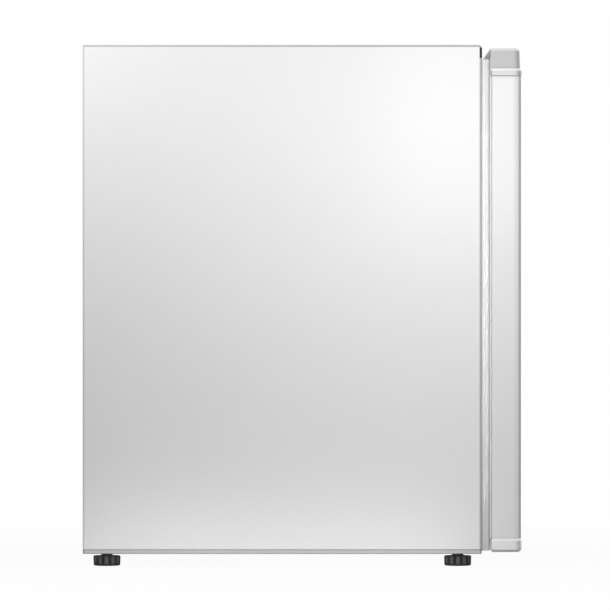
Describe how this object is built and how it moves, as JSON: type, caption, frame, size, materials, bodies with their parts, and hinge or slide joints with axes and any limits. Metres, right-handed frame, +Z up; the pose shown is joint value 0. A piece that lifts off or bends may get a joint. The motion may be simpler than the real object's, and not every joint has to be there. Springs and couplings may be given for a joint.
{
  "type": "mini fridge",
  "caption": "White cube-shaped mini fridge with a hinged door, ice box, wire shelf, door bins, rear compressor bay and screw levelling feet.",
  "frame": {"origin": "on the floor under the middle of the closed fridge", "axes": "+Z up, -Y out of the door, +X towards the hinge side"},
  "size_m": [0.4416, 0.4212, 0.508],
  "materials": {
    "white_steel": "gloss white coil-coated sheet steel",
    "galvanised": "plain galvanised sheet",
    "grey_steel": "satin grey painted sheet",
    "black_steel": "satin black paint",
    "zinc_steel": "bright zinc plate",
    "copper": "bare copper tube",
    "aluminium": "matt roll-bond aluminium",
    "white_liner": "formed polystyrene, semi-gloss white",
    "white_plastic": "fine-textured white moulding",
    "clear_plastic": "clear tinted moulding",
    "black_plastic": "black moulding",
    "gasket_white": "soft white vinyl",
    "black_rubber": "black rubber",
    "magnet": "rubber-bonded magnet strip",
    "foam": "rigid poured foam",
    "wire_white": "white dip-coated wire"
  },
  "bodies": {
    "cabinet": {"outer_wrap": "white_steel", "base_frame": "grey_steel", "bottom_panel": "galvanised", "rear_panel": "grey_steel", "inner_liner": "white_liner", "hinge_tapping_plates": "zinc_steel", "foot_sockets": "zinc_steel", "condenser_coil": "copper", "foam_insulation": "foam", "evaporator_box": "aluminium", "evaporator_hangers": "white_plastic", "icebox_frame": "white_plastic", "tray_rails": "white_plastic", "thermostat_housing": "white_plastic", "thermostat_switch": "zinc_steel", "sensing_tube": "copper", "sensing_clip": "aluminium", "compressor_plate": "black_steel", "compressor_grommets": "black_rubber", "compressor": "black_steel", "relay_cover": "black_plastic", "cord_gland": "black_plastic", "compressor_tubes": "copper", "filter_drier": "copper", "top_hinge_bracket": "zinc_steel", "top_hinge_pin": "zinc_steel", "top_hinge_cover": "white_plastic", "bottom_hinge_bracket": "zinc_steel", "bottom_hinge_pin": "zinc_steel"},
    "door": {"door_skin": "white_steel", "door_top_cap": "white_plastic", "door_bottom_cap": "white_plastic", "door_liner": "white_liner", "door_foam": "foam", "door_gasket": "gasket_white", "gasket_magnets": "magnet", "door_bushes": "white_plastic"},
    "upper_bin": {"upper_door_bin": "clear_plastic"},
    "lower_bin": {"lower_door_bin": "clear_plastic"},
    "flap": {"icebox_flap": "clear_plastic"},
    "tray": {"drip_tray": "clear_plastic"},
    "knob": {"thermostat_knob": "white_plastic"},
    "shelf": {"wire_shelf": "wire_white"},
    "stud_front_left": {"foot_stud_front_left": "zinc_steel"},
    "foot_front_left": {"foot_knob_front_left": "black_plastic"},
    "stud_front_right": {"foot_stud_front_right": "zinc_steel"},
    "foot_front_right": {"foot_knob_front_right": "black_plastic"},
    "stud_rear_left": {"foot_stud_rear_left": "zinc_steel"},
    "foot_rear_left": {"foot_knob_rear_left": "black_plastic"},
    "stud_rear_right": {"foot_stud_rear_right": "zinc_steel"},
    "foot_rear_right": {"foot_knob_rear_right": "black_plastic"}
  },
  "joints": [
    {"name": "door_hinge", "type": "hinge", "parent": "cabinet", "child": "door", "pos_m": [0.209, -0.19585, 0.25], "axis": [0, 0, 1], "range_deg": [0, 120]},
    {"name": "upper_bin_lift", "type": "slide", "parent": "door", "child": "upper_bin", "axis": [0, 0, 1], "range_m": [0, 0.014]},
    {"name": "lower_bin_lift", "type": "slide", "parent": "door", "child": "lower_bin", "axis": [0, 0, 1], "range_m": [0, 0.014]},
    {"name": "flap_hinge", "type": "hinge", "parent": "cabinet", "child": "flap", "pos_m": [-0.07, -0.05185, 0.457], "axis": [-1, 0, 0], "range_deg": [0, 90]},
    {"name": "tray_slide", "type": "slide", "parent": "cabinet", "child": "tray", "axis": [0, -1, 0], "range_m": [0, 0.06]},
    {"name": "shelf_slide", "type": "slide", "parent": "cabinet", "child": "shelf", "axis": [0, -1, 0], "range_m": [0, 0.045]},
    {"name": "thermostat_turn", "type": "hinge", "parent": "cabinet", "child": "knob", "pos_m": [0.168, -0.07185, 0.414], "axis": [0, 1, 0], "range_deg": [0, 300]},
    {"name": "foot_slide_front_left", "type": "slide", "parent": "cabinet", "child": "stud_front_left", "axis": [0, 0, -1], "range_m": [0, 0.01]},
    {"name": "foot_turn_front_left", "type": "hinge", "parent": "stud_front_left", "child": "foot_front_left", "pos_m": [-0.202, -0.14935, 0.005], "axis": [0, 0, -1], "range_deg": [0, 2880]},
    {"name": "foot_slide_front_right", "type": "slide", "parent": "cabinet", "child": "stud_front_right", "axis": [0, 0, -1], "range_m": [0, 0.01]},
    {"name": "foot_turn_front_right", "type": "hinge", "parent": "stud_front_right", "child": "foot_front_right", "pos_m": [0.202, -0.14935, 0.005], "axis": [0, 0, -1], "range_deg": [0, 2880]},
    {"name": "foot_slide_rear_left", "type": "slide", "parent": "cabinet", "child": "stud_rear_left", "axis": [0, 0, -1], "range_m": [0, 0.01]},
    {"name": "foot_turn_rear_left", "type": "hinge", "parent": "stud_rear_left", "child": "foot_rear_left", "pos_m": [-0.202, 0.18815, 0.005], "axis": [0, 0, -1], "range_deg": [0, 2880]},
    {"name": "foot_slide_rear_right", "type": "slide", "parent": "cabinet", "child": "stud_rear_right", "axis": [0, 0, -1], "range_m": [0, 0.01]},
    {"name": "foot_turn_rear_right", "type": "hinge", "parent": "stud_rear_right", "child": "foot_rear_right", "pos_m": [0.202, 0.18815, 0.005], "axis": [0, 0, -1], "range_deg": [0, 2880]}
  ],
  "couplings": [
    {"joint": "foot_turn_front_left", "follows": "foot_slide_front_left", "rad_per_m": 5026.5},
    {"joint": "foot_turn_front_right", "follows": "foot_slide_front_right", "rad_per_m": 5026.5},
    {"joint": "foot_turn_rear_left", "follows": "foot_slide_rear_left", "rad_per_m": 5026.5},
    {"joint": "foot_turn_rear_right", "follows": "foot_slide_rear_right", "rad_per_m": 5026.5}
  ]
}
